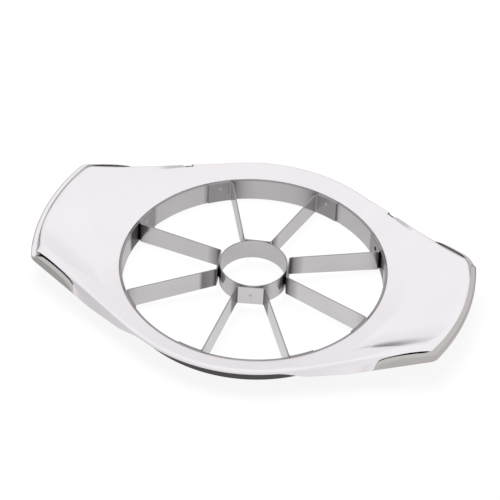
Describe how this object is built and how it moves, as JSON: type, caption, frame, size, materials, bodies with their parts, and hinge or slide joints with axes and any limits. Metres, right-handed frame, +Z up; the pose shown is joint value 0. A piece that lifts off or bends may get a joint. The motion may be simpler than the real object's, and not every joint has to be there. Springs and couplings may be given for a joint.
{
  "type": "apple slicer",
  "caption": "Hand-held apple slicer and corer: a polished steel body with two raised side handles round a thin spoked cutter with a core ring.",
  "frame": {"origin": "centre of the opening, on the plane of the cutter band's lower edge, which is the plane it stands on", "axes": "+X along the handles to the right-hand handle, +Y to the far side, +Z up, the way the slicer is pushed down"},
  "size_m": [0.166, 0.116, 0.0165],
  "materials": {
    "body_metal": "polished",
    "tray_metal": "polished",
    "cutter_steel": "satin",
    "weld_steel": "satin"
  },
  "bodies": {
    "root": {"top_shell": "body_metal", "left_handle_tray": "tray_metal", "right_handle_tray": "tray_metal", "blade_band": "cutter_steel", "core_ring": "cutter_steel", "blade_strip_right": "cutter_steel", "blade_strip_far": "cutter_steel", "blade_strip_left": "cutter_steel", "blade_strip_near": "cutter_steel", "band_spot_welds": "weld_steel", "tab_spot_welds": "weld_steel", "core_spot_welds": "weld_steel"}
  },
  "joints": []
}
